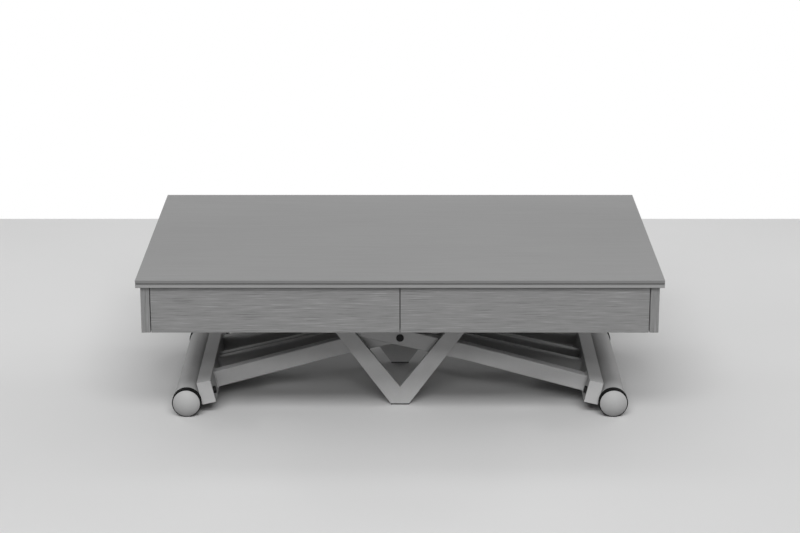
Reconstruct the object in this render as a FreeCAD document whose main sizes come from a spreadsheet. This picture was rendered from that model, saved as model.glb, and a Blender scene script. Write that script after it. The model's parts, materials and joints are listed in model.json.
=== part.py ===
import FreeCAD, Part
import os
import re
import Sketcher

# Driving sizes in millimetres and degrees. X runs left to right, Y front to back, Z up from the floor.
SIZES = {
    # Folded top: two stacked leaves
    "top_length": 1200,
    "top_depth": 750,
    "top_height": 380,
    "leaf_thick": 8.5,
    "leaf_gap": 1.2,
    "leaf_edge": 0.8,
    # Box under the top
    "box_gap": 2.5,
    "overhang": 10,
    "box_tall": 107.3,
    "side_thick": 20.5,
    "front_thick": 19,
    "back_thick": 19,
    "panel_edge": 0.8,
    "side_seam": 1.7,
    "centre_seam": 2,
    "front_drop": 0.5,
    "front_play": 0.5,
    "rail_deep": 45,
    "rail_thick": 12,
    "divider_thick": 16,
    "divider_lift": 4,
    # Scissor frames
    "end_inset": 81.3,
    "axle_drop": 8.9,
    "pin_lift": 28.3,
    "arm_height": 40,
    "arm_thick": 25,
    "arm_wall": 2,
    "arm_corner": 3,
    "arm_face": 135,
    "arm_clear": 2,
    "arm_tail": 18,
    "arm_flare": 33,
    "flare_share": 0.328,
    "weld_gap": 0.3,
    "bar_height": 30,
    "bar_thick": 20,
    "bar_split": 2,
    "bar_clear": 5,
    "crossbar_wide": 33.5,
    "crossbar_tall": 55,
    "crossbar_wall": 2.5,
    "crossbar_cap": 2,
    "bolt_radius": 8.5,
    "bolt_head": 6,
    "bolt_inset": 10.5,
    "pivot_radius": 8,
    "pivot_cap_radius": 9.2,
    "pivot_cap_thick": 3,
    "pivot_gap": 0.5,
    "shaft_radius": 10,
    "shaft_short": 1,
    "fit": 0.05,
    # Rollers and wheels
    "tube_radius": 32,
    "tube_wall": 3,
    "tube_half": 222,
    "bush_length": 16,
    "axle_radius": 6,
    "wheel_radius": 34.5,
    "wheel_wide": 18,
    "wheel_gap": 2,
    "tyre_edge": 1.5,
    "hub_radius": 27,
    "cap_radius": 32,
    "cap_thick": 13,
    "cap_dome": 12,
    "axle_cover": 5,
    # Channels, carriage and feet
    "channel_face": 157,
    "channel_deep": 25,
    "channel_tall": 36,
    "channel_wall": 3,
    "block_long": 70,
    "block_clear": 0.3,
    "block_out": 7,
    "strap_thick": 8,
    "strap_wide": 24,
    "yoke_thick": 12,
    "foot_angle": 36.2,
    "foot_inner_angle": 38.1,
    "foot_crotch": 41.7,
    "foot_flat": 22,
    "foot_thick": 12,
    "foot_pad": 3,
    # Lift springs and release lever
    "gas_side": 65,
    "gas_depth": 29.3,
    "gas_radius": 14,
    "gas_bore": 11,
    "gas_inset": 16.5,
    "gas_length": 253,
    "gas_end": 8,
    "gas_guide": 15,
    "rod_radius": 5,
    "rod_out": 17,
    "piston_long": 15,
    "piston_gap": 2,
    "slide_clear": 0.4,
    "bracket_width": 180,
    "bracket_tall": 30,
    "bracket_wall": 3,
    "bracket_foot": 10,
    "lever_thick": 10,
    "lever_wide": 60,
    "lever_top": 12,
    "lever_lift": 48,
    "lever_below": 12,
    "lever_grip": 5,
    "lever_gap": 9.5,
    "lever_pin": 2.5,
    "ear_thick": 6,
    "ear_tall": 16,
    "ear_clear": 2,
    # Swivel of the top
    "disc_radius": 85,
    "disc_clear": 0.3,
    "stud_radius": 8,
    "stud_drop": 20,
    "board_thick": 21,
    "board_half": 110,
    "post_width": 80,
    "post_gap": 16,
    "nut_radius": 15,
    "nut_thick": 10,
    "glide_radius": 7,
    "glide_clear": 0.1,
    "glide_spread": 250,
    # Hinges between the leaves
    "hinge_inset": 170,
    "hinge_wide": 70,
    "hinge_deep": 28,
    "hinge_plate": 2,
    "hinge_knuckle": 24,
    "hinge_play": 0.3,
    "hinge_offset": 0.4,
    "barrel_radius": 2.5,
    "hinge_pin": 1.2,
    "seat_clear": 0.2,
    "cut_over": 1,
    # Drawers
    "drawer_raise": 10,
    "drawer_tall": 83,
    "drawer_wall": 12,
    "drawer_gap": 8,
    "drawer_floor": 4,
    "drawer_lift": 4,
    "guide_wide": 14.5,
    "guide_lip": 9.5,
    "guide_wall": 2,
    "guide_play": 0.5,
    "guide_raise": 33,
    "guide_gap": 1,
    "runner_gap": 2,
    "guide_tall": 35,
}

# Sizes and places that follow from the driving sizes.
DERIVED = {
    "box_top": "top_height - 2 * leaf_thick - leaf_gap - box_gap",
    "leaf_low": "box_top + box_gap",
    "leaf_seam": "leaf_low + leaf_thick",
    "upper_low": "leaf_seam + leaf_gap",
    "half_length": "top_length / 2",
    "half_depth": "top_depth / 2",
    "box_half": "half_length - overhang",
    "deep_half": "half_depth - overhang",
    "inner_half": "box_half - side_thick",
    "divider_half": "divider_thick / 2",
    "box_bottom": "box_top - box_tall",
    "arm_reach": "half_length - end_inset",
    "pin_z": "box_bottom + pin_lift",
    "tilt": "asin((pin_z - wheel_radius - axle_drop) / (2 * arm_reach))",
    "pivot_height": "(pin_z + wheel_radius + axle_drop) / 2",
    "pin_x": "arm_reach * cos(tilt)",
    "axle_reach": "arm_reach + axle_drop * sin(tilt)",
    "inner_face": "arm_face - arm_thick - arm_clear",
    "bar_out": "bar_split + bar_thick + bar_clear",
    "crossbar_out": "axle_reach - tube_radius - weld_gap",
    "crossbar_in": "crossbar_out - crossbar_wide",
    "arm_foot": "crossbar_in - weld_gap",
    "wheel_in": "tube_half + wheel_gap",
    "wheel_out": "wheel_in + wheel_wide",
    "dome_radius": "(cap_radius * cap_radius + cap_dome * cap_dome) / (2 * cap_dome)",
    "channel_out": "channel_face + channel_deep",
    "channel_low": "pin_z - channel_tall / 2",
    "channel_high": "pin_z + channel_tall / 2",
    "block_half": "channel_tall / 2 - channel_wall - block_clear",
    "block_in": "channel_face - block_out",
    "block_end": "channel_out - channel_wall - block_clear",
    "strap_in": "block_in - strap_thick",
    "foot_in": "channel_face - foot_thick",
    "foot_notch": "foot_pad + foot_crotch",
    "foot_top_out": "foot_flat + (channel_high - foot_pad) * tan(foot_angle)",
    "foot_top_in": "(channel_high - foot_notch) * tan(foot_inner_angle)",
    "gas_height": "box_top - gas_depth",
    "gas_back": "inner_half - gas_inset",
    "gas_mouth": "gas_back - gas_length",
    "yoke_x": "gas_mouth - rod_out",
    "lever_pivot": "box_bottom + lever_lift",
    "lever_low": "box_bottom - lever_below",
    "lever_x": "inner_half - lever_gap - lever_thick / 2",
    "swivel": "hinge_y / 2",
    "board_low": "box_top - disc_clear - board_thick",
    "hinge_y": "half_depth - barrel_radius",
    "leaf_back": "hinge_y - hinge_offset",
    "hinge_z": "leaf_seam + leaf_gap / 2",
    "hinge_spread": "half_length - hinge_inset",
    "drawer_front": "deep_half - front_thick",
    "drawer_low": "box_bottom + drawer_raise",
    "drawer_high": "drawer_low + drawer_tall",
    "guide_low": "box_bottom + guide_raise",
    "drawer_back": "channel_out + drawer_gap",
}

doc = FreeCAD.newDocument("convertible_table")
sheet = doc.addObject("Spreadsheet::Sheet", "Sizes")
for row, (alias, value) in enumerate(SIZES.items(), start=1):
    sheet.set(f"A{row}", alias)
    sheet.set(f"B{row}", str(value))
    sheet.setAlias(f"B{row}", alias)
doc.recompute()

nodes = []


def formula(text):
    """Write out a size expression so that it reads the sheet's cells only."""
    def spell(match):
        word = match.group(0)
        if word in DERIVED:
            return "(" + formula(DERIVED[word]) + ")"
        return "Sizes." + word if word in SIZES else word
    return re.sub(r"[a-z_]+", spell, str(text))


def bind(item, prop, text):
    """Tie one property of an object to a size expression."""
    item.setExpression(prop, formula(text))


def place(item, x="0", y="0", z="0"):
    """Tie an object's position to size expressions."""
    for axis, text in zip("xyz", (x, y, z)):
        bind(item, "Placement.Base." + axis, text)


def node(item, label):
    """Name an object as a sub-part of its own."""
    item.Label = label
    nodes.append(item)
    return item


def name_for(label, word):
    """Internal name of a helper object."""
    return label.title().replace("_", "") + word


def block(label, x, y, z):
    """Rectangular block between two limits along each axis."""
    item = doc.addObject("Part::Box", name_for(label, "Block"))
    for prop, (low, high) in zip(("Length", "Width", "Height"), (x, y, z)):
        bind(item, prop, f"({high}) - ({low})")
    place(item, x[0], y[0], z[0])
    return item


def rod(label, radius, low, high, x, z):
    """Round rod along Y between two limits."""
    item = doc.addObject("Part::Cylinder", name_for(label, "Rod"))
    bind(item, "Radius", radius)
    bind(item, "Height", f"({high}) - ({low})")
    item.Placement.Rotation = FreeCAD.Rotation(FreeCAD.Vector(1, 0, 0), -90)
    place(item, x, low, z)
    return item


def barrel(label, radius, low, high, y, z):
    """Round rod along X between two limits."""
    item = doc.addObject("Part::Cylinder", name_for(label, "Barrel"))
    bind(item, "Radius", radius)
    bind(item, "Height", f"({high}) - ({low})")
    item.Placement.Rotation = FreeCAD.Rotation(FreeCAD.Vector(0, 1, 0), 90)
    place(item, low, y, z)
    return item


def post(label, radius, low, high, x, y):
    """Upright round post between two heights."""
    item = doc.addObject("Part::Cylinder", name_for(label, "Post"))
    bind(item, "Radius", radius)
    bind(item, "Height", f"({high}) - ({low})")
    place(item, x, y, low)
    return item


def cut(label, base, tools):
    """Take one or more tools out of a base."""
    item = doc.addObject("Part::Cut", name_for(label, "Cut"))
    item.Base = base
    item.Tool = tools[0] if len(tools) == 1 else group(label + "_tools", tools)
    return item


def fuse(label, pieces):
    """Join overlapping pieces into one solid."""
    item = doc.addObject("Part::MultiFuse", name_for(label, "Fuse"))
    item.Shapes = pieces
    item.Refine = True
    return item


def group(label, pieces):
    """Keep separate solids together in one sub-part."""
    item = doc.addObject("Part::Compound", name_for(label, "Group"))
    item.Links = pieces
    return item


def mirror(label, source, normal=(0, 1, 0)):
    """Mirror image of an object through the middle of the table."""
    item = doc.addObject("Part::Mirroring", name_for(label, "Mirror"))
    item.Source = source
    item.Normal = normal
    return item


def pair(label, source):
    """An object and its mirror image from front to back, in one sub-part."""
    return group(label, [source, mirror(label, source)])


def sketch(body, plane, label, offset="0"):
    """Sketch on one of a body's own origin planes, moved along its normal."""
    item = body.newObject("Sketcher::SketchObject", label)
    support = [part for part in body.Origin.OriginFeatures if part.Role == plane][0]
    item.AttachmentSupport = [(support, "")]
    item.MapMode = "FlatFace"
    bind(item, "AttachmentOffset.Base.z", offset)
    return item


def outline(item, points):
    """Closed outline of straight lines, each corner tied to two size expressions."""
    count = len(points)
    first = item.GeometryCount
    turn = FreeCAD.Rotation(FreeCAD.Vector(0, 0, 1), 360 / count)
    spot = FreeCAD.Vector(50, 20, 0)
    spots = []
    for _ in points:
        spots.append(spot)
        spot = turn.multVec(spot)
    for index in range(count):
        line = Part.LineSegment(spots[index], spots[(index + 1) % count])
        item.addGeometry(line, False)
    for index in range(count):
        following = first + (index + 1) % count
        item.addConstraint(Sketcher.Constraint("Coincident", first + index, 2, following, 1))
    for index, corner in enumerate(points):
        for kind, axis, start, text in (("DistanceX", -2, spots[index].x, corner[0]),
                                        ("DistanceY", -1, spots[index].y, corner[1])):
            if text == "0":
                item.addConstraint(Sketcher.Constraint("PointOnObject", first + index, 1, axis))
                continue
            number = item.addConstraint(Sketcher.Constraint(kind, -1, 1, first + index, 1, start))
            name = f"{kind[-1].lower()}{first + index}"
            item.renameConstraint(number, name)
            bind(item, "Constraints." + name, text)


def ring(item, radius, x="0", y="0"):
    """Circle in a sketch, its centre and radius tied to size expressions."""
    start = FreeCAD.Vector(5, 3, 0)
    number = item.addGeometry(Part.Circle(start, FreeCAD.Vector(0, 0, 1), 4), False)
    for kind, axis, value, text in (("DistanceX", -2, start.x, x), ("DistanceY", -1, start.y, y)):
        if text == "0":
            item.addConstraint(Sketcher.Constraint("PointOnObject", number, 3, axis))
            continue
        place_rule = item.addConstraint(Sketcher.Constraint(kind, -1, 1, number, 3, value))
        name = f"{kind[-1].lower()}ring{number}"
        item.renameConstraint(place_rule, name)
        bind(item, "Constraints." + name, text)
    size_rule = item.addConstraint(Sketcher.Constraint("Radius", number, 4))
    item.renameConstraint(size_rule, f"radius{number}")
    bind(item, f"Constraints.radius{number}", radius)


def prism(label, plane, points, low, high):
    """Body of one outline on a plane, padded between two limits along the plane's axis."""
    body = doc.addObject("PartDesign::Body", name_for(label, "Body"))
    start = f"-1 * ({high})" if plane == "XZ_Plane" else low
    plan = sketch(body, plane, name_for(label, "Outline"), start)
    outline(plan, points)
    pad = body.newObject("PartDesign::Pad", name_for(label, "Pad"))
    pad.Profile = plan
    bind(pad, "Length", f"({high}) - ({low})")
    return body


def ease(body, radius, picks=None):
    """Round the edges of a body that a test picks, or all of them."""
    doc.recompute()
    base = body.Tip
    round_edges = body.newObject("PartDesign::Fillet", body.Name + "Edges")
    edges = enumerate(base.Shape.Edges, start=1)
    round_edges.Base = (base, [f"Edge{number}" for number, edge in edges if picks is None or picks(edge)])
    bind(round_edges, "Radius", radius)
    return body


def bore(body, word, radius, x, z):
    """Round hole along Y, right through a body."""
    plan = sketch(body, "XZ_Plane", body.Name + word + "Ring")
    ring(plan, radius, x, z)
    pocket = body.newObject("PartDesign::Pocket", body.Name + word + "Bore")
    pocket.Profile = plan
    pocket.Type = "ThroughAll"
    pocket.SideType = "Symmetric"
    return body


def turned(label, points, axis):
    """Body of revolution; the outline holds place along the axis and radius."""
    body = doc.addObject("PartDesign::Body", name_for(label, "Body"))
    plan = sketch(body, "XY_Plane", name_for(label, "Outline"))
    outline(plan, points)
    spin = body.newObject("PartDesign::Revolution", name_for(label, "Turn"))
    spin.Profile = plan
    spin.ReferenceAxis = (plan, [axis])
    spin.Angle = 360
    return body


def panel(label, x, y, z, radius):
    """Board with softly rounded edges."""
    corners = [(x[0], y[0]), (x[1], y[0]), (x[1], y[1]), (x[0], y[1])]
    return ease(prism(label, "XY_Plane", corners, z[0], z[1]), radius)


def runs_along(edge):
    """True for an edge that runs along a bar, not round its end."""
    ends = [vertex.Point for vertex in edge.Vertexes]
    step = ends[-1] - ends[0]
    return abs(step.x) > max(abs(step.y), abs(step.z))


def tube(label, outer, inner, tall):
    """Bar with rounded long edges, made hollow by an inner outline that runs out of its ends."""
    body = prism(label, "XY_Plane", outer, f"-1 * {tall} / 2", f"{tall} / 2")
    ease(body, "arm_corner", runs_along)
    plan = sketch(body, "XY_Plane", name_for(label, "Inside"))
    outline(plan, inner)
    pocket = body.newObject("PartDesign::Pocket", name_for(label, "Hollow"))
    pocket.Profile = plan
    pocket.SideType = "Symmetric"
    bind(pocket, "Length", f"{tall} - 2 * arm_wall")
    return body


# One scissor frame. Side -1 stands low on the left and pins to the box; side 1 stands low on the right.
def set_in_frame(item, side):
    """Tip a piece that is drawn along its frame's arms, with the pivot at its origin."""
    item.Placement.Rotation = FreeCAD.Rotation(FreeCAD.Vector(0, 1, 0), 10)
    bind(item, "Placement.Rotation.Angle", f"{side} * tilt")
    place(item, z="pivot_height")
    return item


def arm_plan(side, face, inset, over):
    """Plan outline of a front arm, drawn in from its faces by inset and past its ends by over."""
    top = f"{-side} * (arm_reach + arm_tail + {over})"
    bend = f"{side} * flare_share * arm_reach"
    foot = f"{side} * (arm_foot + {over})"
    near = f"{inset} - {face}"
    far = f"arm_thick - {inset} - {face}"
    return [(top, near), (bend, near), (foot, f"{near} - arm_flare"), (foot, f"{far} - arm_flare"),
            (bend, far), (top, far)]


def arm(label, side, face):
    """Front arm: a tube that bends outwards below the pivot."""
    outer = arm_plan(side, face, "0", "0")
    inner = arm_plan(side, face, "arm_wall", "cut_over")
    return tube(label, outer, inner, "arm_height")


def bar_plan(side, inner, inset, over):
    """Plan outline of a centre bar, drawn in from its faces by inset and past its ends by over."""
    top = f"{-side} * (arm_reach + arm_tail + {over})"
    foot = f"{side} * (arm_foot + {over})"
    near = f"{inner} + {inset}"
    far = f"{inner} + bar_thick - {inset}"
    return [(top, near), (foot, near), (foot, far), (top, far)]


def centre_bar(label, side, inner):
    """Straight bar beside the middle of the table."""
    outer = bar_plan(side, inner, "0", "0")
    hollow = bar_plan(side, inner, "arm_wall", "cut_over")
    return tube(label, outer, hollow, "bar_height")


def frame_bores(body, side):
    """Holes for the centre pivot and for the upper shaft."""
    bore(body, "Pivot", "pivot_radius + fit", "0", "0")
    bore(body, "Shaft", "shaft_radius + fit", f"{-side} * arm_reach", "0")
    return set_in_frame(body, side)


def frame(letter, side, face, bar_inner):
    """Arms, bars, crossbar, roller tube and upper shaft of one frame."""
    front = frame_bores(arm(f"{letter}_front_arm", side, face), side)
    node(front, f"{letter}_front_arm")
    node(mirror(f"{letter}_rear_arm", front), f"{letter}_rear_arm")
    bar = frame_bores(centre_bar(f"{letter}_centre_bar", side, bar_inner), side)
    node(pair(f"{letter}_centre_bars", bar), f"{letter}_centre_bars")

    near = f"{side} * crossbar_in"
    far = f"{side} * crossbar_out"
    tall = "crossbar_tall / 2"
    inside_near = f"{side} * (crossbar_in + crossbar_wall)"
    inside_far = f"{side} * (crossbar_out - crossbar_wall)"
    inside_tall = "crossbar_tall / 2 - crossbar_wall"
    end = "tube_half - crossbar_cap"
    crossbar = doc.addObject("PartDesign::Body", f"{letter.upper()}CrossbarBody")
    plan = sketch(crossbar, "XZ_Plane", f"{letter.upper()}CrossbarSection", f"-1 * ({end})")
    outline(plan, [(near, f"-1 * {tall}"), (far, f"-1 * {tall}"), (far, tall), (near, tall)])
    outline(plan, [(inside_near, f"-1 * ({inside_tall})"), (inside_far, f"-1 * ({inside_tall})"),
                   (inside_far, inside_tall), (inside_near, inside_tall)])
    pad = crossbar.newObject("PartDesign::Pad", f"{letter.upper()}CrossbarPad")
    pad.Profile = plan
    bind(pad, "Length", f"2 * ({end})")
    set_in_frame(crossbar, side)
    corners = [(near, f"-1 * {tall}"), (far, f"-1 * {tall}"), (far, tall), (near, tall)]
    cap = prism(f"{letter}_crossbar_cap", "XZ_Plane", corners, "-1 * tube_half", f"-1 * ({end})")
    set_in_frame(cap, side)
    node(group(f"{letter}_lower_crossbar", [crossbar, cap, mirror(f"{letter}_crossbar_cap", cap)]),
         f"{letter}_lower_crossbar")
    bolt_in = f"{side} * crossbar_in" if side < 0 else "crossbar_in - bolt_head"
    bolt_out = "bolt_head - crossbar_in" if side < 0 else "crossbar_in"
    bolt = barrel(f"{letter}_crossbar_bolt", "bolt_radius", bolt_in, bolt_out, "bolt_inset - tube_half", "0")
    node(pair(f"{letter}_crossbar_bolts", in_frame_turned(bolt, side, bolt_in)), f"{letter}_crossbar_bolts")

    tube = turned(f"{letter}_roller_tube", [("tube_radius - tube_wall", "-1 * tube_half"),
                                            ("tube_radius", "-1 * tube_half"), ("tube_radius", "tube_half"),
                                            ("tube_radius - tube_wall", "tube_half")], "V_Axis")
    place(tube, f"{side} * pin_x", "0", "wheel_radius")
    bush = turned(f"{letter}_tube_bush", [("axle_radius + fit", "-1 * tube_half"),
                                          ("tube_radius - tube_wall", "-1 * tube_half"),
                                          ("tube_radius - tube_wall", "bush_length - tube_half"),
                                          ("axle_radius + fit", "bush_length - tube_half")], "V_Axis")
    place(bush, f"{side} * pin_x", "0", "wheel_radius")
    node(group(f"{letter}_roller_tube", [tube, bush, mirror(f"{letter}_tube_bush", bush)]),
         f"{letter}_roller_tube")
    shaft = rod(f"{letter}_upper_shaft", "shaft_radius", "-1 * (block_end - shaft_short)",
                "block_end - shaft_short", f"{-side} * pin_x", "pin_z")
    node(shaft, f"{letter}_upper_shaft")


def in_frame_turned(bolt, side, low):
    """Tip a bolt that lies along a frame's arms and points at its crossbar."""
    bolt.Placement.Rotation = FreeCAD.Rotation(FreeCAD.Vector(0, 1, 0), 90)
    bind(bolt, "Placement.Rotation.Angle", f"90 deg + {side} * tilt")
    place(bolt, f"({low}) * cos(tilt)", "bolt_inset - tube_half",
          f"pivot_height - {side} * ({low}) * sin(tilt)")
    return bolt


def build_frames():
    """Both scissor frames, the pivot that joins them and the axles under them."""
    frame("a", -1, "inner_face", "bar_split")
    frame("b", 1, "arm_face", "bar_out")
    end = "(arm_face + pivot_gap)"
    tip = f"({end} + pivot_cap_thick)"
    pivot = turned("pivot_shaft", [("0", f"-1 * {tip}"), ("pivot_cap_radius", f"-1 * {tip}"),
                                   ("pivot_cap_radius", f"-1 * {end}"), ("pivot_radius", f"-1 * {end}"),
                                   ("pivot_radius", end), ("pivot_cap_radius", end),
                                   ("pivot_cap_radius", tip), ("0", tip)], "V_Axis")
    ease(pivot, "pivot_cap_thick / 3", is_pivot_rim)
    place(pivot, z="pivot_height")
    node(pivot, "pivot_shaft")
    for side, word in ((-1, "left"), (1, "right")):
        axle = rod(f"{word}_axle", "axle_radius", "axle_cover - wheel_out", "wheel_out - axle_cover",
                   f"{side} * pin_x", "wheel_radius")
        node(axle, f"{word}_axle")


def is_pivot_rim(edge):
    """True for the outer rim of a pivot's cap."""
    middle = SIZES["arm_face"] + SIZES["pivot_gap"] + SIZES["pivot_cap_thick"] / 2
    box = edge.BoundBox
    return box.YLength < 0.01 and max(box.YMax, -box.YMin) > middle and box.XMax > 0.01


def build_wheels():
    """Four wheels: a moulded hub with its domed cover, and a tyre."""
    for side, word in ((-1, "left"), (1, "right")):
        place_x = f"{side} * pin_x"
        cover = "-1 * (wheel_out + cap_thick)"
        well = "axle_cover / 2 - wheel_out"
        profile = [("axle_radius + fit", "-1 * wheel_in"), ("hub_radius", "-1 * wheel_in"),
                   ("hub_radius", "-1 * wheel_out"), ("cap_radius", "-1 * wheel_out"),
                   ("cap_radius", cover), ("0", cover), ("0", well), ("axle_radius + fit", well)]
        shell = turned(f"{word}_front_hub", profile, "V_Axis")
        place(shell, place_x, "0", "wheel_radius")
        dome = doc.addObject("Part::Sphere", name_for(f"{word}_front_hub", "Dome"))
        bind(dome, "Radius", "dome_radius")
        place(dome, place_x, "dome_radius - wheel_out - cap_thick", "wheel_radius")
        hub = doc.addObject("Part::Common", name_for(f"{word}_front_hub", "Common"))
        hub.Base = shell
        hub.Tool = dome
        node(hub, f"{word}_front_hub")
        node(mirror(f"{word}_rear_hub", hub), f"{word}_rear_hub")
        tread = [("hub_radius", "-1 * wheel_in"), ("wheel_radius", "-1 * wheel_in"),
                 ("wheel_radius", "-1 * wheel_out"), ("hub_radius", "-1 * wheel_out")]
        tyre = turned(f"{word}_front_tyre", tread, "V_Axis")
        ease(tyre, "tyre_edge", is_tread_rim)
        place(tyre, place_x, "0", "wheel_radius")
        node(tyre, f"{word}_front_tyre")
        node(mirror(f"{word}_rear_tyre", tyre), f"{word}_rear_tyre")


def is_tread_rim(edge):
    """True for the two outer rims of a tyre."""
    return edge.BoundBox.XMax > SIZES["wheel_radius"] - 0.01 and edge.BoundBox.YLength < 0.01


def build_box():
    """Side panels, back panel, front rail and middle divider."""
    depth = ("-1 * deep_half", "deep_half")
    height = ("box_bottom", "box_top")
    right = panel("right_side_panel", ("inner_half", "box_half"), depth, height, "panel_edge")
    node(right, "right_side_panel")
    left = panel("left_side_panel", ("-1 * box_half", "-1 * inner_half"), depth, height, "panel_edge")
    node(left, "left_side_panel")
    width = ("-1 * inner_half", "inner_half")
    back = block("back_panel", width, ("deep_half - back_thick", "deep_half"), height)
    node(back, "back_panel")
    rail = block("front_rail", width, ("front_play - drawer_front", "rail_deep - drawer_front"),
                 ("box_top - rail_thick", "box_top"))
    node(rail, "front_rail")
    divider = block("centre_divider", ("-1 * divider_half", "divider_half"),
                    ("front_play - drawer_front", "-1 * channel_out"),
                    ("box_bottom + divider_lift", "box_top - rail_thick"))
    node(divider, "centre_divider")


def build_channels():
    """Two steel channels, the bearing blocks fixed in them and the sliding blocks of the carriage."""
    width = ("-1 * inner_half", "inner_half")
    web = "channel_wall - channel_out"
    section = [("-1 * channel_out", "channel_low"), ("-1 * channel_face", "channel_low"),
               ("-1 * channel_face", "channel_low + channel_wall"), (web, "channel_low + channel_wall"),
               (web, "channel_high - channel_wall"), ("-1 * channel_face", "channel_high - channel_wall"),
               ("-1 * channel_face", "channel_high"), ("-1 * channel_out", "channel_high")]
    channel = prism("front_channel", "YZ_Plane", section, width[0], width[1])
    node(channel, "front_channel")
    node(mirror("rear_channel", channel), "rear_channel")
    for side, word in ((1, "bearing_blocks"), (-1, "slide_blocks")):
        middle = f"{side} * pin_x"
        solid = block(word, (f"{middle} - block_long / 2", f"{middle} + block_long / 2"),
                      ("-1 * block_end", "-1 * block_in"), ("pin_z - block_half", "pin_z + block_half"))
        hole = rod(word + "_hole", "shaft_radius + fit", "-1 * block_end - cut_over",
                   "cut_over - block_in", middle, "pin_z")
        node(pair(word, cut(word, solid, [hole])), word)


def build_feet():
    """Two V-shaped feet of flat bars, with a pad under each point."""
    bars = []
    for side, word in ((-1, "left"), (1, "right")):
        points = [("0", "foot_pad"), (f"{side} * foot_flat", "foot_pad"),
                  (f"{side} * foot_top_out", "channel_high"), (f"{side} * foot_top_in", "channel_high"),
                  ("0", "foot_notch")]
        bars.append(prism(f"foot_{word}", "XZ_Plane", points, "-1 * channel_face", "-1 * foot_in"))
    node(group("front_foot", bars), "front_foot")
    node(group("rear_foot", [mirror("rear_" + bar.Name, bar) for bar in bars]), "rear_foot")
    pad = block("foot_pad", ("-1 * foot_flat", "foot_flat"), ("-1 * channel_face", "-1 * foot_in"),
                ("0", "foot_pad"))
    node(pair("foot_pads", pad), "foot_pads")


def build_lift():
    """Lift springs in the box, and the carriage parts that they push."""
    guide_bore = "rod_radius + slide_clear"
    wall = [("-1 * gas_back", "0"), ("-1 * gas_back", "gas_radius"), ("-1 * gas_mouth", "gas_radius"),
            ("-1 * gas_mouth", guide_bore), ("-1 * gas_mouth - gas_guide", guide_bore),
            ("-1 * gas_mouth - gas_guide", "gas_bore"), ("gas_end - gas_back", "gas_bore"),
            ("gas_end - gas_back", "0")]
    cylinder = turned("gas_cylinder", wall, "H_Axis")
    place(cylinder, "0", "-1 * gas_side", "gas_height")
    node(pair("gas_cylinders", cylinder), "gas_cylinders")
    start = "gas_end + piston_gap - gas_back"
    ram = turned("gas_rod", [(start, "0"), (start, "gas_bore - slide_clear"),
                             (f"{start} + piston_long", "gas_bore - slide_clear"),
                             (f"{start} + piston_long", "rod_radius"), ("-1 * yoke_x", "rod_radius"),
                             ("-1 * yoke_x", "0")], "H_Axis")
    place(ram, "0", "-1 * gas_side", "gas_height")
    node(pair("gas_rods", ram), "gas_rods")
    yoke = block("push_yoke", ("-1 * yoke_x", "yoke_thick - yoke_x"), ("-1 * strap_in", "strap_in"),
                 ("gas_height - strap_wide / 2", "gas_height + strap_wide / 2"))
    node(yoke, "push_yoke")
    tail = "-1 * pin_x - block_long / 2"
    points = [(tail, "pin_z - block_half"), ("block_long / 2 - pin_x", "pin_z - block_half"),
              ("block_long / 2 - pin_x", "gas_height - strap_wide / 2"),
              ("yoke_thick - yoke_x", "gas_height - strap_wide / 2"),
              ("yoke_thick - yoke_x", "gas_height + strap_wide / 2"), (tail, "gas_height + strap_wide / 2")]
    strap = prism("push_strap", "XZ_Plane", points, "-1 * block_in", "-1 * strap_in")
    bore(strap, "Shaft", "shaft_radius + fit", "-1 * pin_x", "pin_z")
    node(pair("push_straps", strap), "push_straps")
    inner = "-1 * (gas_back + bracket_wall)"
    side = "bracket_width / 2 - bracket_foot"
    low = "gas_height - bracket_tall / 2"
    plan = [("-1 * inner_half", "-1 * bracket_width / 2"), ("-1 * gas_back", "-1 * bracket_width / 2"),
            ("-1 * gas_back", "bracket_width / 2"), ("-1 * inner_half", "bracket_width / 2"),
            ("-1 * inner_half", side), (inner, side), (inner, f"-1 * ({side})"),
            ("-1 * inner_half", f"-1 * ({side})")]
    bracket = prism("gas_bracket", "XY_Plane", plan, low, f"{low} + bracket_tall")
    node(bracket, "gas_bracket")


def build_lever():
    """Release lever under the left end, on a pin between two ears."""
    back = "-1 * lever_x - lever_thick / 2"
    front = "lever_thick / 2 - lever_x"
    points = [("-1 * box_half", "lever_low"), (front, "lever_low"), (front, "lever_pivot + lever_top"),
              (back, "lever_pivot + lever_top"), (back, "lever_low + lever_grip"),
              ("-1 * box_half", "lever_low + lever_grip")]
    lever = prism("release_lever", "XZ_Plane", points, "-1 * lever_wide / 2", "lever_wide / 2")
    bore(lever, "Pin", "lever_pin + fit", "-1 * lever_x", "lever_pivot")
    node(lever, "release_lever")
    inner = "lever_wide / 2 + ear_clear"
    ear = block("lever_ear", ("-1 * inner_half", front), (f"-1 * ({inner} + ear_thick)", f"-1 * ({inner})"),
                ("lever_pivot - ear_tall / 2", "lever_pivot + ear_tall / 2"))
    hole = rod("lever_ear_hole", "lever_pin + fit", f"-1 * ({inner} + ear_thick + cut_over)",
               f"cut_over - ({inner})",
               "-1 * lever_x", "lever_pivot")
    drilled = cut("lever_ear", ear, [hole])
    pin = rod("lever_pin", "lever_pin", f"-1 * ({inner} + ear_thick)", f"{inner} + ear_thick",
              "-1 * lever_x", "lever_pivot")
    node(group("lever_bracket", [drilled, mirror("lever_ear", drilled), pin]), "lever_bracket")


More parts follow.
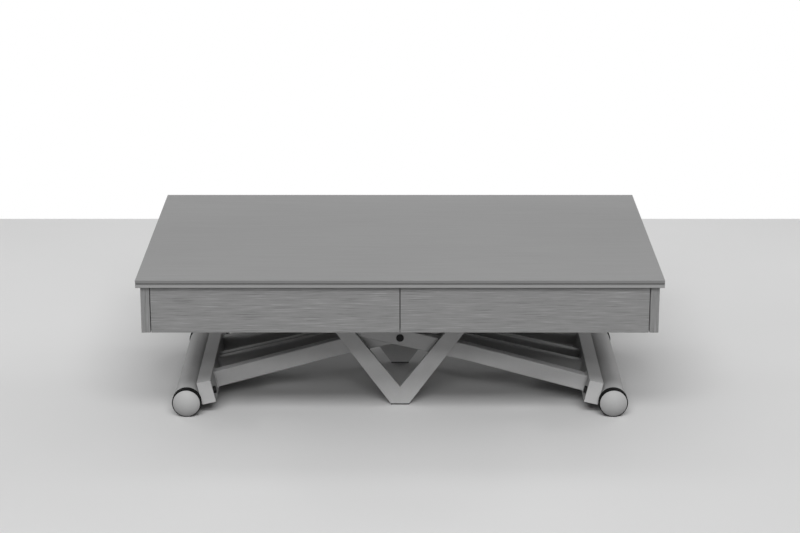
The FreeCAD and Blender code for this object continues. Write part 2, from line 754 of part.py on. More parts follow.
def build_swivel():
    """Board and post that carry the top's swivel, the swivel disc with its stud, and the glides."""
    board = block("swivel_board", ("swivel - board_half", "swivel + board_half"),
                  ("swivel - board_half", "deep_half - back_thick"), ("board_low", "board_low + board_thick"))
    hole = post("swivel_hole", "stud_radius + fit", "board_low - cut_over", "box_top", "swivel", "swivel")
    drilled = cut("swivel_board", board, [hole])
    prop_start = "swivel + stud_radius + post_gap"
    prop = block("swivel_post", (prop_start, f"{prop_start} + post_width"),
                 ("channel_face", "channel_out"), ("channel_high", "board_low"))
    node(group("swivel_support", [drilled, prop]), "swivel_support")
    disc = post("swivel_disc_plate", "disc_radius", "box_top", "leaf_low", "swivel", "swivel")
    stud = post("swivel_stud", "stud_radius", "board_low - stud_drop", "leaf_low", "swivel", "swivel")
    node(fuse("swivel_disc", [disc, stud]), "swivel_disc")
    hexagon = doc.addObject("Part::Prism", "SwivelNutHexagon")
    hexagon.Polygon = 6
    bind(hexagon, "Circumradius", "nut_radius")
    bind(hexagon, "Height", "nut_thick")
    place(hexagon, "swivel", "swivel", "board_low - disc_clear - nut_thick")
    core = post("swivel_nut_hole", "stud_radius + fit", "board_low - stud_drop - cut_over", "board_low",
                "swivel", "swivel")
    node(cut("swivel_nut", hexagon, [core]), "swivel_nut")
    glides = []
    for side, word in ((-1, "left"), (1, "right")):
        x = f"{side} * (box_half - side_thick / 2)"
        glide = post(f"{word}_glide", "glide_radius", "box_top", "leaf_low - glide_clear", x,
                     "-1 * glide_spread")
        glides.extend([glide, mirror(f"{word}_glide", glide)])
    node(group("felt_glides", glides), "felt_glides")


def hinge_plate(label, middle, low, high, spans):
    """One hinge plate with the knuckles that stand on its edge."""
    plate = block(label, (f"{middle} - hinge_wide / 2", f"{middle} + hinge_wide / 2"),
                  ("hinge_y - barrel_radius - hinge_deep", "hinge_y - barrel_radius / 2"), (low, high))
    reliefs = []
    knuckles = []
    for number, (first, last) in enumerate(spans):
        knuckles.append(barrel(f"{label}_{'ab'[number]}", "barrel_radius", f"{middle} + {first}",
                               f"{middle} + {last}", "hinge_y", "hinge_z"))
    bare = [("-1 * hinge_wide / 2", spans[0][0])]
    for before, after in zip(spans, spans[1:]):
        bare.append((before[1], after[0]))
    bare.append((spans[-1][1], "hinge_wide / 2"))
    for number, (first, last) in enumerate(bare):
        if first == last:
            continue
        reliefs.append(block(f"{label}_relief_{'abc'[number]}", (f"{middle} + {first}", f"{middle} + {last}"),
                             ("hinge_y - barrel_radius - hinge_play", "hinge_y"),
                             (f"{low} - cut_over", f"{high} + cut_over")))
    hole = barrel(f"{label}_hole", "hinge_pin + fit", f"{middle} - hinge_wide", f"{middle} + hinge_wide",
                  "hinge_y", "hinge_z")
    return cut(label, fuse(label, [cut(label + "_plate", plate, reliefs)] + knuckles), [hole])


def build_top():
    """Two leaves, stacked, with three hinges along the back edge."""
    width = ("-1 * half_length", "half_length")
    depth = ("-1 * half_depth", "leaf_back")
    centre = "hinge_knuckle / 2 - hinge_play"
    outer = "hinge_wide / 2"
    lower_spans = [(f"-1 * {outer}", "-1 * hinge_knuckle / 2"), ("hinge_knuckle / 2", outer)]
    upper_spans = [(f"-1 * ({centre})", centre)]
    plates = {"lower": [], "upper": []}
    seats = {"lower": [], "upper": []}
    for number, middle in enumerate(("-1 * hinge_spread", "0", "hinge_spread")):
        mark = "abc"[number]
        plates["lower"].append(hinge_plate(f"lower_hinge_{mark}", middle, "leaf_seam - hinge_plate",
                                           "leaf_seam", lower_spans))
        plates["upper"].append(hinge_plate(f"upper_hinge_{mark}", middle, "upper_low",
                                           "upper_low + hinge_plate", upper_spans))
        plates["lower"].append(barrel(f"hinge_pin_{mark}", "hinge_pin", f"{middle} - {outer}",
                                      f"{middle} + {outer}", "hinge_y", "hinge_z"))
        span = (f"{middle} - {outer} - seat_clear", f"{middle} + {outer} + seat_clear")
        seat = ("hinge_y - barrel_radius - hinge_deep - seat_clear", "half_depth + cut_over")
        notch = ("hinge_y - barrel_radius - seat_clear", "half_depth + cut_over")
        deep = "(barrel_radius + seat_clear)"
        above = "leaf_seam + cut_over"
        below = "upper_low - cut_over"
        seats["lower"].append(block(f"lower_seat_{mark}", span, seat, ("leaf_seam - hinge_plate", above)))
        seats["lower"].append(block(f"lower_notch_{mark}", span, notch, (f"hinge_z - {deep}", above)))
        seats["upper"].append(block(f"upper_seat_{mark}", span, seat, (below, "upper_low + hinge_plate")))
        seats["upper"].append(block(f"upper_notch_{mark}", span, notch, (below, f"hinge_z + {deep}")))
    for word, low in (("lower", "leaf_low"), ("upper", "upper_low")):
        leaf = panel(f"{word}_leaf", width, depth, (low, f"{low} + leaf_thick"), "leaf_edge")
        node(cut(f"{word}_leaf", leaf, seats[word]), f"{word}_leaf")
        node(group(f"hinge_{word}_plates", plates[word]), f"hinge_{word}_plates")


def guide(label, wall, way):
    """Fixed drawer guide: a shallow channel on a wall, open towards the drawer."""
    lip = f"{wall} + {way} * guide_lip"
    web = f"{wall} + {way} * guide_wall"
    high = "guide_low + guide_tall"
    points = [(wall, "guide_low"), (lip, "guide_low"), (lip, "guide_low + guide_wall"),
              (web, "guide_low + guide_wall"), (web, f"{high} - guide_wall"), (lip, f"{high} - guide_wall"),
              (lip, high), (wall, high)]
    return prism(label, "XZ_Plane", points, "guide_gap - drawer_front", "-1 * drawer_back")


def runner(label, wall, way):
    """Bar on a drawer's side that runs in its guide."""
    near = f"{wall} + {way} * (guide_wall + guide_play)"
    far = f"{wall} + {way} * guide_wide"
    limits = (near, far) if way > 0 else (far, near)
    return block(label, limits, ("runner_gap - drawer_front", "-1 * drawer_back"),
                 ("guide_low + guide_wall + guide_play", "guide_low + guide_tall - guide_wall - guide_play"))


def build_drawers():
    """Two shallow drawers side by side behind the front, on side guides."""
    guides = []
    for side, word in ((-1, "left"), (1, "right")):
        outer_wall = f"{side} * inner_half"
        inner_wall = f"{side} * divider_half"
        guides.append(guide(f"{word}_outer_guide", outer_wall, -side))
        guides.append(guide(f"{word}_inner_guide", inner_wall, side))
        runners = [runner(f"{word}_outer_runner", outer_wall, -side),
                   runner(f"{word}_inner_runner", inner_wall, side)]
        node(group(f"{word}_drawer_runners", runners), f"{word}_drawer_runners")
        edges = [f"{side} * centre_seam / 2", f"{side} * (inner_half - side_seam)"][::side]
        front = panel(f"{word}_drawer_front", edges, ("-1 * deep_half", "-1 * drawer_front"),
                      ("box_bottom", "box_top - front_drop"), "panel_edge")
        node(front, f"{word}_drawer_front")
        outside = "(inner_half - guide_wide)"
        inside = "(divider_half + guide_wide)"
        depth = ("-1 * drawer_front", "-1 * drawer_back")
        height = ("drawer_low", "drawer_high")
        spans = [(f"{outside} - drawer_wall", outside), (inside, f"{inside} + drawer_wall")]
        walls = []
        for number, (first, last) in enumerate(spans):
            limits = (first, last) if side > 0 else (f"-1 * ({last})", f"-1 * ({first})")
            walls.append(block(f"{word}_drawer_wall_{'ab'[number]}", limits, depth, height))
        across = (f"{inside} + drawer_wall", f"{outside} - drawer_wall")
        if side < 0:
            across = (f"-1 * ({across[1]})", f"-1 * ({across[0]})")
        walls.append(block(f"{word}_drawer_end", across,
                           ("-1 * drawer_back - drawer_wall", "-1 * drawer_back"), height))
        floor = block(f"{word}_drawer_floor", across, ("-1 * drawer_front", "-1 * drawer_back - drawer_wall"),
                      ("drawer_low + drawer_lift", "drawer_low + drawer_lift + drawer_floor"))
        node(group(f"{word}_drawer_box", walls + [floor]), f"{word}_drawer_box")
    node(group("drawer_guides", guides), "drawer_guides")


def check_and_write():
    """Check every object, then write each sub-part to its own file."""
    doc.recompute()
    failed = [item.Name for item in doc.Objects if {"Invalid", "Error"} & set(item.State)]
    if failed:
        raise RuntimeError("failed objects: " + ", ".join(failed))
    for item in nodes:
        if item.Shape.isNull() or not item.Shape.isValid() or not item.Shape.Solids:
            raise RuntimeError("bad shape: " + item.Label)
    os.makedirs("parts", exist_ok=True)
    for item in nodes:
        item.Shape.exportStep(f"parts/{item.Label}.step")
    print(len(nodes), "sub-parts written")


build_frames()
build_wheels()
build_box()
build_channels()
build_feet()
build_lift()
build_lever()
build_swivel()
build_top()
build_drawers()
check_and_write()
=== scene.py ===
import bmesh
import bpy
import json
import math
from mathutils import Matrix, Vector


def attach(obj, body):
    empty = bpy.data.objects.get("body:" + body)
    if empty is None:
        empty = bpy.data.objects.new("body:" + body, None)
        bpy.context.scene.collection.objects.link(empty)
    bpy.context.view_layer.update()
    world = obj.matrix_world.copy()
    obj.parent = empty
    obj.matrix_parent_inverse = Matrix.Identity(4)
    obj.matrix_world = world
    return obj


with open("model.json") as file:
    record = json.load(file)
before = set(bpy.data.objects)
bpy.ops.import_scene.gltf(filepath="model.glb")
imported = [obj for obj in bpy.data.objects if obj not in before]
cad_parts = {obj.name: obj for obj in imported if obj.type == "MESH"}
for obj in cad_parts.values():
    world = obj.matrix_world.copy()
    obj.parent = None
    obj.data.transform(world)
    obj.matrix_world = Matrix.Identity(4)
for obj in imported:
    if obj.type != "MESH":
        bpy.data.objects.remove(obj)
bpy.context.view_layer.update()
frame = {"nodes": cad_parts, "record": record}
nodes = frame["nodes"]
scene = bpy.context.scene

# Softened edges
EDGE_RADIUS = 0.0012
EDGE_SAMPLES = 6

# Parts of the noise range that are spread over a whole ramp
NOISE_SPREAD = (0.3, 0.7)
MOTTLE_SPREAD = (0.35, 0.65)

# Wood: grain scales for the axis it runs along, and the shares of streaks, broad bands and pores
GRAIN_SCALES = {
    "X": (13.0, 90.0, 560.0),
    "Y": (560.0, 13.0, 560.0),
    "Z": (560.0, 560.0, 13.0),
}
BAND_SCALE = 0.16
PORE_SCALE = 3.1
STREAK_SHARE = 0.74
BAND_SHARE = 0.08
PORE_SHARE = 0.18
# Middle part of the wood's ramp, which is nearly flat
FLAT_FROM, FLAT_TO = 0.38, 0.62
FLAT_RISE = 0.03

# Lacquered leaves, with the height of the seam between them and the half width of the painted shade
# along it
CLOUD_SCALES = (1.1, 2.3, 1.0)
CLOUD_SHARE = 0.45
VEIN_SCALES = (5.0, 260.0, 260.0)
VEIN_SHARE = 0.55
SEAM_UP = 0.371
SEAM_SHADE_HALF = 0.0012
# Painted shade: share of the edge tone left along the seam, where the gap between the leaves is in
# shade
SEAM_SHADE_TONE = 0.25

# Coats, steel, plastics and felt
MOTTLE_SCALE = 7.0
MOTTLE_SHARE = 0.7
SPECK_SCALE = 900.0
SPECK_SHARE = 0.3
COAT_VARIATION = 0.05
LINE_SCALES = (40.0, 1200.0, 1200.0)
LINE_SHARE = 0.5
STAIN_SCALE = 12.0
STAIN_SHARE = 0.5
FINE_SHARE = 0.4
WIDE_SCALE = 15.0
WIDE_SHARE = 0.6
PLASTIC_VARIATION = 0.06
FIBRE_SCALE = 1500.0

# Frames: lean of the arms, height of the pivot, and sections of the arms and centre bars
LEAN = math.radians(13.2005)
PIVOT_UP = 0.16185
ARM_WIDE, ARM_TALL = 0.025, 0.040
BAR_WIDE, BAR_TALL = 0.020, 0.030
ARM_CORNER = 0.003
CORNER_STEPS = 5

# Welds at the feet of the arms
WELD_ALONG = 0.4541
WELD_RADIUS = 0.002
WELD_LEAST, WELD_SWELL = 0.9, 0.2
WELD_PROUD = 0.0006
WELD_SPACING = 0.0014
WELD_RIPPLE = 1.1
WELD_SIDES = 8
# Body, side of its foot, and middles of its arm and of its centre bar across the table
FRAME_WELDS = [("frame_a", -1, 0.1285, 0.012), ("frame_b", 1, 0.1555, 0.037)]

# Screws in the hinge plates
SCREW_SIDES = 24
SCREW_RADIUS = 0.0036
SCREW_BEVEL = 0.0003
SCREW_PROUD = 0.0003
SCREW_FLOOR = 0.00005
CROSS_REACH, CROSS_HALF = 0.0019, 0.0005
# Body, height of its hinge plates' outer faces, and the way they look
HINGE_FACES = [("lower_top", 0.3703, 1), ("upper_top", 0.3715, -1)]
HINGE_PLACES = (-0.43, 0.0, 0.43)
HINGE_SCREWS = ((-0.025, 0.350), (0.0, 0.358), (0.025, 0.350))

# Floor: its edges, its tones as it is seen, and its tones for the light that it gives back
FLOOR_SIDE = 6.0
FLOOR_FRONT = -4.0
FLOOR_BACK = 1.5
FLOOR_CLOUD = 0.8
FLOOR_SEEN = (0.71, 0.75)
FLOOR_BOUNCE = (0.05, 0.09)

# Light of the surroundings from straight down (0) to straight up (1)
WORLD_STOPS = [(0.49, 1.0), (0.51, 0.04), (0.65, 0.15), (1.0, 0.36)]
WORLD_WHITE = 1.0
# Lamps: name, place, aim, size and power
LAMPS = [
    ("main", (0.0, -10.2, 10.9), (0.0, -0.2, 0.2), (12.0, 3.2), 1260.0),
    ("front", (0.0, -13.0, 7.9), (0.0, 0.0, 0.1), (10.0, 2.0), 480.0),
    ("fill", (0.0, -12.5, 0.4), (0.0, 0.0, 0.15), (10.0, 0.5), 312.0),
    ("back", (0.0, 1.6, 3.4), (0.0, 1.5, 0.0), (6.0, 1.0), 24.0),
    ("left rear", (-7.0, 6.0, 4.8), (0.0, 0.0, 0.2), (3.0, 1.5), 80.0),
    ("right rear", (7.0, 6.0, 4.8), (0.0, 0.0, 0.2), (3.0, 1.5), 80.0),
]

# Camera
CAMERA_SENSOR = 36.0
CAMERA_LENS = 100.35
CAMERA_BACK = -5.194
CAMERA_UP = 1.873
CAMERA_TILT = 16.856


# Node helpers
def new_material(name):
    """Node material with a principled shader; returns the material, its tree and the shader."""
    material = bpy.data.materials.new(name)
    material.use_nodes = True
    tree = material.node_tree
    tree.nodes.clear()
    output = tree.nodes.new("ShaderNodeOutputMaterial")
    shader = tree.nodes.new("ShaderNodeBsdfPrincipled")
    tree.links.new(shader.outputs["BSDF"], output.inputs["Surface"])
    return material, tree, shader


def noise(tree, scales, detail, roughness, distortion=0.0):
    """Noise on the object's own coordinates; scales are cells per metre, one number or one per axis."""
    coords = tree.nodes.new("ShaderNodeTexCoord")
    mapping = tree.nodes.new("ShaderNodeMapping")
    even = isinstance(scales, (int, float))
    mapping.inputs["Scale"].default_value = (scales, scales, scales) if even else scales
    tree.links.new(coords.outputs["Object"], mapping.inputs["Vector"])
    texture = tree.nodes.new("ShaderNodeTexNoise")
    texture.inputs["Scale"].default_value = 1.0
    texture.inputs["Detail"].default_value = detail
    texture.inputs["Roughness"].default_value = roughness
    texture.inputs["Distortion"].default_value = distortion
    tree.links.new(mapping.outputs["Vector"], texture.inputs["Vector"])
    return texture.outputs["Fac"]


def remap(tree, value, low, high, from_low=0.0, from_high=1.0):
    """Clamped change of range."""
    node = tree.nodes.new("ShaderNodeMapRange")
    node.inputs["From Min"].default_value = from_low
    node.inputs["From Max"].default_value = from_high
    node.inputs["To Min"].default_value = low
    node.inputs["To Max"].default_value = high
    tree.links.new(value, node.inputs["Value"])
    return node.outputs["Result"]


def spread_out(tree, value, span=NOISE_SPREAD):
    """Part of a noise's range, stretched to reach from 0 to 1."""
    return remap(tree, value, 0.0, 1.0, *span)


def combine(tree, operation, *values):
    """Math node on values that are sockets or plain numbers."""
    node = tree.nodes.new("ShaderNodeMath")
    node.operation = operation
    for socket, value in zip(node.inputs, values):
        if isinstance(value, (int, float)):
            socket.default_value = value
        else:
            tree.links.new(value, socket)
    return node.outputs["Value"]


def weighted_sum(tree, first, *others):
    """Sum of (value, share) pairs."""
    total = combine(tree, "MULTIPLY", *first)
    for value, share in others:
        total = combine(tree, "MULTIPLY_ADD", value, share, total)
    return total


def mix(tree, kind, factor, first, second):
    """Value between two others, of kind FLOAT or RGBA; a plain number as a colour is a grey."""
    socket_type = "VALUE" if kind == "FLOAT" else kind
    node = tree.nodes.new("ShaderNodeMix")
    node.data_type = kind
    tree.links.new(factor, node.inputs["Factor"])
    for name, value in (("A", first), ("B", second)):
        sockets = [item for item in node.inputs if item.name == name and item.type == socket_type]
        if isinstance(value, (int, float)):
            sockets[0].default_value = (value, value, value, 1.0)
        else:
            tree.links.new(value, sockets[0])
    return [item for item in node.outputs if item.type == socket_type][0]


def shade(tree, value, stops):
    """Colour ramp through (position, grey) stops."""
    ramp = tree.nodes.new("ShaderNodeValToRGB")
    elements = ramp.color_ramp.elements
    while len(elements) < len(stops):
        elements.new(0.5)
    for element, (position, grey) in zip(elements, stops):
        element.position = position
        element.color = (grey, grey, grey, 1.0)
    tree.links.new(value, ramp.inputs["Fac"])
    return ramp.outputs["Color"]


def tone_range(tree, value, dark, light):
    """Even ramp from dark to light."""
    return shade(tree, value, [(0.0, dark), (1.0, light)])


def facing(tree, axis):
    """How squarely a face looks along one of the scene's axes."""
    geometry = tree.nodes.new("ShaderNodeNewGeometry")
    split = tree.nodes.new("ShaderNodeSeparateXYZ")
    tree.links.new(geometry.outputs["Normal"], split.inputs["Vector"])
    return combine(tree, "ABSOLUTE", split.outputs[axis])


def add_bump(tree, shader, height, strength, distance):
    """Fine relief on a shader, over softened edges."""
    bump = tree.nodes.new("ShaderNodeBump")
    bump.inputs["Strength"].default_value = strength
    bump.inputs["Distance"].default_value = distance
    tree.links.new(height, bump.inputs["Height"])
    soft_edge = tree.nodes.new("ShaderNodeBevel")
    soft_edge.samples = EDGE_SAMPLES
    soft_edge.inputs["Radius"].default_value = EDGE_RADIUS
    tree.links.new(soft_edge.outputs["Normal"], bump.inputs["Normal"])
    tree.links.new(bump.outputs["Normal"], shader.inputs["Normal"])


# Materials
def grain_value(tree, along):
    """Streaked grain that runs along one axis."""
    scales = GRAIN_SCALES[along]
    band_scales = tuple(value * BAND_SCALE for value in scales)
    pore_scales = tuple(value * PORE_SCALE for value in scales)
    bands = noise(tree, band_scales, detail=3.0, roughness=0.5, distortion=0.2)
    streaks = noise(tree, scales, detail=5.0, roughness=0.6, distortion=0.05)
    pores = noise(tree, pore_scales, detail=3.0, roughness=0.7)
    return weighted_sum(tree, (streaks, STREAK_SHARE), (bands, BAND_SHARE), (pores, PORE_SHARE))


def wood(name, along, dark, light, relief, edge_axis=None):
    """Grey stained wood with grain along one axis, and upright grain on faces along edge_axis."""
    material, tree, shader = new_material(name)
    value = grain_value(tree, along)
    if edge_axis:
        upright = grain_value(tree, "Z")
        value = mix(tree, "FLOAT", facing(tree, edge_axis), value, upright)
    tone = spread_out(tree, value)
    middle = (dark + light) / 2
    stops = [
        (0.0, dark),
        (FLAT_FROM, middle * (1 - FLAT_RISE)),
        (FLAT_TO, middle * (1 + FLAT_RISE)),
        (1.0, light),
    ]
    tree.links.new(shade(tree, tone, stops), shader.inputs["Base Color"])
    tree.links.new(remap(tree, tone, low=0.62, high=0.5), shader.inputs["Roughness"])
    shader.inputs["Specular IOR Level"].default_value = 0.3
    add_bump(tree, shader, tone, strength=relief, distance=0.0004)
    return material


def seam_shade_mask(tree):
    """Mask of the painted shade in the gap: one at the seam between the two leaves, falling to zero a
    little above and below it.
    """
    coords = tree.nodes.new("ShaderNodeTexCoord")
    split = tree.nodes.new("ShaderNodeSeparateXYZ")
    tree.links.new(coords.outputs["Object"], split.inputs["Vector"])
    offset = combine(tree, "SUBTRACT", split.outputs["Z"], SEAM_UP)
    distance = combine(tree, "ABSOLUTE", offset)
    return remap(tree, distance, 1.0, 0.0, SEAM_SHADE_HALF, 2 * SEAM_SHADE_HALF)


def lacquer(name, dark, light, edge_tone):
    """Smooth stained board: cloudy tone with faint veins under a satin coat, upright edges in a tone of
    their own, and painted shade along the seam between the leaves.
    """
    material, tree, shader = new_material(name)
    cloud = noise(tree, CLOUD_SCALES, detail=3.0, roughness=0.5, distortion=0.3)
    veins = noise(tree, VEIN_SCALES, detail=6.0, roughness=0.65)
    tone = spread_out(tree, weighted_sum(tree, (veins, VEIN_SHARE), (cloud, CLOUD_SHARE)))
    flat = tone_range(tree, tone, dark, light)
    edge = tone_range(tree, tone, dark * edge_tone, light * edge_tone)
    # Painted shade along the seam, darker copies of the edge tone where the gap between the leaves lies
    # in shade
    seam = tone_range(tree, tone, dark * SEAM_SHADE_TONE, light * SEAM_SHADE_TONE)
    edge = mix(tree, "RGBA", seam_shade_mask(tree), edge, seam)
    colour = mix(tree, "RGBA", facing(tree, "Z"), edge, flat)
    tree.links.new(colour, shader.inputs["Base Color"])
    tree.links.new(remap(tree, veins, low=0.48, high=0.56), shader.inputs["Roughness"])
    shader.inputs["Specular IOR Level"].default_value = 0.05
    add_bump(tree, shader, veins, strength=0.05, distance=0.0002)
    return material


def paint(name, dark, light, roughness, gloss):
    """Powder coat: faint mottling and a fine orange-peel relief."""
    material, tree, shader = new_material(name)
    mottle = noise(tree, MOTTLE_SCALE, detail=4.0, roughness=0.6)
    speck = noise(tree, SPECK_SCALE, detail=2.0, roughness=0.5)
    value = weighted_sum(tree, (mottle, MOTTLE_SHARE), (speck, SPECK_SHARE))
    colour = tone_range(tree, spread_out(tree, value, MOTTLE_SPREAD), dark, light)
    tree.links.new(colour, shader.inputs["Base Color"])
    rough = remap(tree, speck, roughness - COAT_VARIATION, roughness + COAT_VARIATION)
    tree.links.new(rough, shader.inputs["Roughness"])
    shader.inputs["Specular IOR Level"].default_value = gloss
    add_bump(tree, shader, speck, strength=0.08, distance=0.0002)
    return material


def brushed(name, dark, light):
    """Drawn steel with fine lines."""
    material, tree, shader = new_material(name)
    lines = noise(tree, LINE_SCALES, detail=3.0, roughness=0.6)
    stain = noise(tree, STAIN_SCALE, detail=4.0, roughness=0.6)
    value = weighted_sum(tree, (stain, STAIN_SHARE), (lines, LINE_SHARE))
    colour = tone_range(tree, spread_out(tree, value), dark, light)
    tree.links.new(colour, shader.inputs["Base Color"])
    tree.links.new(remap(tree, lines, low=0.28, high=0.42), shader.inputs["Roughness"])
    shader.inputs["Metallic"].default_value = 1.0
    add_bump(tree, shader, lines, strength=0.08, distance=0.0001)
    return material


def plastic(name, dark, light, roughness, grit, relief, gloss=0.5):
    """Moulded plastic or rubber with a fine texture of a given scale."""
    material, tree, shader = new_material(name)
    fine = noise(tree, grit, detail=3.0, roughness=0.5)
    wide = noise(tree, WIDE_SCALE, detail=3.0, roughness=0.5)
    value = weighted_sum(tree, (wide, WIDE_SHARE), (fine, FINE_SHARE))
    colour = tone_range(tree, spread_out(tree, value), dark, light)
    tree.links.new(colour, shader.inputs["Base Color"])
    rough = remap(tree, fine, roughness - PLASTIC_VARIATION, roughness + PLASTIC_VARIATION)
    tree.links.new(rough, shader.inputs["Roughness"])
    shader.inputs["Specular IOR Level"].default_value = gloss
    add_bump(tree, shader, fine, strength=relief, distance=0.0002)
    return material


def felt(name, dark, light):
    """Pressed felt."""
    material, tree, shader = new_material(name)
    fibre = noise(tree, FIBRE_SCALE, detail=5.0, roughness=0.7, distortion=0.8)
    colour = tone_range(tree, spread_out(tree, fibre), dark, light)
    tree.links.new(colour, shader.inputs["Base Color"])
    tree.links.new(remap(tree, fibre, low=0.85, high=1.0), shader.inputs["Roughness"])
    add_bump(tree, shader, fibre, strength=0.5, distance=0.0006)
    return material


def make_slot_materials():
    """Material of each slot in the record."""
    return {
        "grey_wood": lacquer("grey top", dark=0.262, light=0.313, edge_tone=0.72),
        "inner_board": wood("inner board", "X", dark=0.16, light=0.25, relief=0.08),
        "silver_paint": paint("silver coat", dark=0.43, light=0.51, roughness=0.45, gloss=0.06),
        "bright_steel": brushed("bright steel", dark=0.5, light=0.62),
        "black_steel": paint("black coat", dark=0.004, light=0.008, roughness=0.5, gloss=0.12),
        "cover_plastic": plastic("cover plastic", dark=0.4, light=0.455, roughness=0.5,
                                 grit=1200.0, relief=0.04, gloss=0.2),
        "black_plastic": plastic("black plastic", dark=0.02, light=0.035, roughness=0.5,
                                 grit=1500.0, relief=0.1),
        "bearing_plastic": plastic("bearing plastic", dark=0.42, light=0.52, roughness=0.45,
                                   grit=900.0, relief=0.06),
        "tyre_rubber": plastic("tyre rubber", dark=0.003, light=0.006, roughness=0.8,
                               grit=1800.0, relief=0.15, gloss=0.1),
        "pad_rubber": plastic("pad rubber", dark=0.01, light=0.02, roughness=0.7,
                              grit=1800.0, relief=0.15),
        "glide_felt": felt("glide felt", dark=0.03, light=0.07),
    }


def make_node_materials():
    """Materials of the pieces that don't wear their slot's own."""
    front = wood("grey front", "X", dark=0.085, light=0.362, relief=0.3)
    side = wood("grey side", "Y", dark=0.085, light=0.362, relief=0.3, edge_axis="Y")
    return {
        "lower_leaf": lacquer("grey lower leaf", dark=0.258, light=0.308, edge_tone=1.05),
        "left_drawer_front": front,
        "right_drawer_front": front,
        "back_panel": front,
        "left_side_panel": side,
        "right_side_panel": side,
    }


def dress_nodes(slot_materials, node_materials):
    """Give every CAD piece its material."""
    for entry in frame["record"]["subparts"]:
        piece = nodes[entry["node"]]
        material = node_materials.get(entry["node"], slot_materials[entry["material_slot"]])
        piece.data.materials.clear()
        piece.data.materials.append(material)


# Welds on the frames and screws in the hinges
def frame_point(side, along, across, up):
    """World point of a place along a leaning frame's arms, across the table and square to them."""
    x = side * (along * math.cos(LEAN) + up * math.sin(LEAN))
    z = PIVOT_UP - along * math.sin(LEAN) + up * math.cos(LEAN)
    return Vector((x, across, z))


def rounded_loop(wide, tall, radius, spacing):
    """Points and outward directions round a rectangle with rounded corners, centred on zero."""
    loop = []
    quarter = math.pi / 2
    corners = [(1, 1, 0.0), (-1, 1, quarter), (-1, -1, 2 * quarter), (1, -1, 3 * quarter)]
    for index, (right, above, start) in enumerate(corners):
        centre = Vector((right * (wide / 2 - radius), above * (tall / 2 - radius)))
        for step in range(CORNER_STEPS + 1):
            angle = start + quarter * step / CORNER_STEPS
            out = Vector((math.cos(angle), math.sin(angle)))
            loop.append((centre + radius * out, out))
        straight = (wide if index % 2 == 0 else tall) - 2 * radius
        count = max(1, round(straight / spacing))
        ahead = Vector((-out.y, out.x))
        first = centre + radius * out
        for step in range(1, count):
            loop.append((first + ahead * straight * step / count, out))
    return loop


def circle(radius, sides):
    """Points round a circle, centred on zero."""
    turns = [2 * math.pi * step / sides for step in range(sides)]
    return [(radius * math.cos(turn), radius * math.sin(turn)) for turn in turns]


def add_walls(mesh, first, second):
    """Faces between two closed rows of as many points."""
    for index in range(len(first)):
        ahead = (index + 1) % len(first)
        mesh.faces.new((first[index], first[ahead], second[ahead], second[index]))


def add_weld(mesh, side, middle, wide, tall):
    """Rippled bead round the foot of one arm, where it meets the crossbar."""
    loop = rounded_loop(wide + 2 * WELD_PROUD, tall + 2 * WELD_PROUD, ARM_CORNER, WELD_SPACING)
    rings = []
    for index, (point, out) in enumerate(loop):
        radius = WELD_RADIUS * (WELD_LEAST + WELD_SWELL * abs(math.sin(index * WELD_RIPPLE)))
        ring = []
        for outward, onward in circle(radius, WELD_SIDES):
            spot = point + out * outward
            place = frame_point(side, WELD_ALONG + onward, middle + spot.x, spot.y)
            ring.append(mesh.verts.new(place))
        rings.append(ring)
    for ring, after in zip(rings, rings[1:] + rings[:1]):
        add_walls(mesh, ring, after)


def add_screw(mesh, centre, up):
    """Countersunk head with a cross recess, standing a little out of its plate."""
    def add_row(points, height):
        z = centre[2] + up * height
        return [mesh.verts.new((centre[0] + x, centre[1] + y, z)) for x, y in points]

    arm, half = CROSS_REACH, CROSS_HALF
    cross = [(half, half), (half, arm), (-half, arm), (-half, half), (-arm, half), (-arm, -half),
             (-half, -half), (-half, -arm), (half, -arm), (half, -half), (arm, -half), (arm, half)]
    base = add_row(circle(SCREW_RADIUS, SCREW_SIDES), 0.0)
    rim = add_row(circle(SCREW_RADIUS - SCREW_BEVEL, SCREW_SIDES), SCREW_PROUD)
    mouth = add_row(cross, SCREW_PROUD)
    floor = add_row(cross, SCREW_FLOOR)
    add_walls(mesh, base, rim)
    add_walls(mesh, mouth, floor)
    mesh.faces.new(floor)
    mesh.faces.new(base)
    edges = []
    for row in (rim, mouth):
        for first, second in zip(row, row[1:] + row[:1]):
            edges.append(mesh.edges.get((first, second)))
    bmesh.ops.triangle_fill(mesh, use_beauty=True, edges=edges)


def add_piece(name, mesh, body, material):
    """Turn a finished mesh into a piece that rides on a body."""
    bmesh.ops.recalc_face_normals(mesh, faces=mesh.faces)
    data = bpy.data.meshes.new(name)
    mesh.to_mesh(data)
    mesh.free()
    piece = bpy.data.objects.new(name, data)
    scene.collection.objects.link(piece)
    data.materials.append(material)
    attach(piece, body)
    return piece


def build_details(slot_materials):
    """Weld beads at the feet of the arms, and screws in the hinge plates."""
    slot = "silver_paint"
    for body, side, arm_middle, bar_middle in FRAME_WELDS:
        mesh = bmesh.new()
        for way in (-1, 1):
            add_weld(mesh, side, way * arm_middle, ARM_WIDE, ARM_TALL)
            add_weld(mesh, side, way * bar_middle, BAR_WIDE, BAR_TALL)
        piece = add_piece(f"{body}_welds", mesh, body, slot_materials[slot])
        piece.data.shade_smooth()
    slot = "bright_steel"
    for body, height, up in HINGE_FACES:
        mesh = bmesh.new()
        for hinge in HINGE_PLACES:
            for x, y in HINGE_SCREWS:
                add_screw(mesh, (hinge + x, y, height), up)
        add_piece(f"{body}_hinge_screws", mesh, body, slot_materials[slot])


# Stage, light and camera
def seen_ray(tree):
    """One on rays that show the stage in the picture or a reflection, zero on rays that only light."""
    path = tree.nodes.new("ShaderNodeLightPath")
    seen = combine(tree, "MAXIMUM", path.outputs["Is Camera Ray"], path.outputs["Is Glossy Ray"])
    return combine(tree, "MAXIMUM", seen, path.outputs["Is Transmission Ray"])


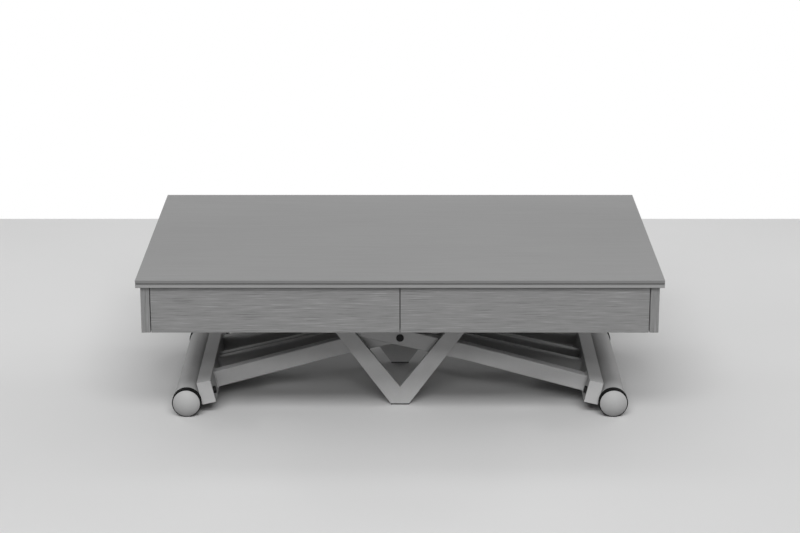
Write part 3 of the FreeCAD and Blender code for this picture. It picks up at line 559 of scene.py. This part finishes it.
def floor_material():
    """Pale plain floor with a slight cloud."""
    material, tree, shader = new_material("pale floor")
    cloud = noise(tree, FLOOR_CLOUD, detail=3.0, roughness=0.5)
    pale = shade(tree, cloud, list(zip(NOISE_SPREAD, FLOOR_SEEN)))
    dim = shade(tree, cloud, list(zip(NOISE_SPREAD, FLOOR_BOUNCE)))
    colour = mix(tree, "RGBA", seen_ray(tree), dim, pale)
    tree.links.new(colour, shader.inputs["Base Color"])
    tree.links.new(remap(tree, cloud, low=0.7, high=0.8), shader.inputs["Roughness"])
    shader.inputs["Specular IOR Level"].default_value = 0.0
    return material


def build_floor():
    """Floor sheet under the table, which ends behind it."""
    mesh = bpy.data.meshes.new("floor")
    corners = [
        (-FLOOR_SIDE, FLOOR_FRONT, 0.0),
        (FLOOR_SIDE, FLOOR_FRONT, 0.0),
        (FLOOR_SIDE, FLOOR_BACK, 0.0),
        (-FLOOR_SIDE, FLOOR_BACK, 0.0),
    ]
    mesh.from_pydata(corners, [], [(0, 1, 2, 3)])
    floor = bpy.data.objects.new("floor", mesh)
    scene.collection.objects.link(floor)
    floor.data.materials.append(floor_material())


def build_world():
    """Surroundings that show white and give a dim light, stronger from above."""
    world = bpy.data.worlds.new("white room")
    world.use_nodes = True
    tree = world.node_tree
    coords = tree.nodes.new("ShaderNodeTexCoord")
    split = tree.nodes.new("ShaderNodeSeparateXYZ")
    tree.links.new(coords.outputs["Generated"], split.inputs["Vector"])
    height = remap(tree, split.outputs["Z"], 0.0, 1.0, from_low=-1.0, from_high=1.0)
    dim = shade(tree, height, WORLD_STOPS)
    colour = mix(tree, "RGBA", seen_ray(tree), dim, WORLD_WHITE)
    background = tree.nodes["Background"]
    tree.links.new(colour, background.inputs["Color"])
    background.inputs["Strength"].default_value = 1.0
    scene.world = world


def build_lamps():
    """Wide soft lamps in front of the table, and weaker ones behind it."""
    for name, location, target, size, power in LAMPS:
        light = bpy.data.lights.new(name, "AREA")
        light.shape = "RECTANGLE"
        light.size, light.size_y = size
        light.energy = power
        lamp = bpy.data.objects.new(name, light)
        lamp.location = location
        aim = Vector(target) - Vector(location)
        lamp.rotation_euler = aim.to_track_quat("-Z", "Y").to_euler()
        scene.collection.objects.link(lamp)


def build_camera():
    """Camera in front of the table, looking a little down on it."""
    data = bpy.data.cameras.new("camera")
    data.sensor_width = CAMERA_SENSOR
    data.lens = CAMERA_LENS
    camera = bpy.data.objects.new("camera", data)
    camera.location = (0.0, CAMERA_BACK, CAMERA_UP)
    camera.rotation_euler = (math.radians(90.0 - CAMERA_TILT), 0.0, 0.0)
    scene.collection.objects.link(camera)
    scene.camera = camera


slots = make_slot_materials()
dress_nodes(slots, make_node_materials())
build_details(slots)
build_floor()
build_world()
build_lamps()
build_camera()
scene.view_settings.view_transform = "Standard"
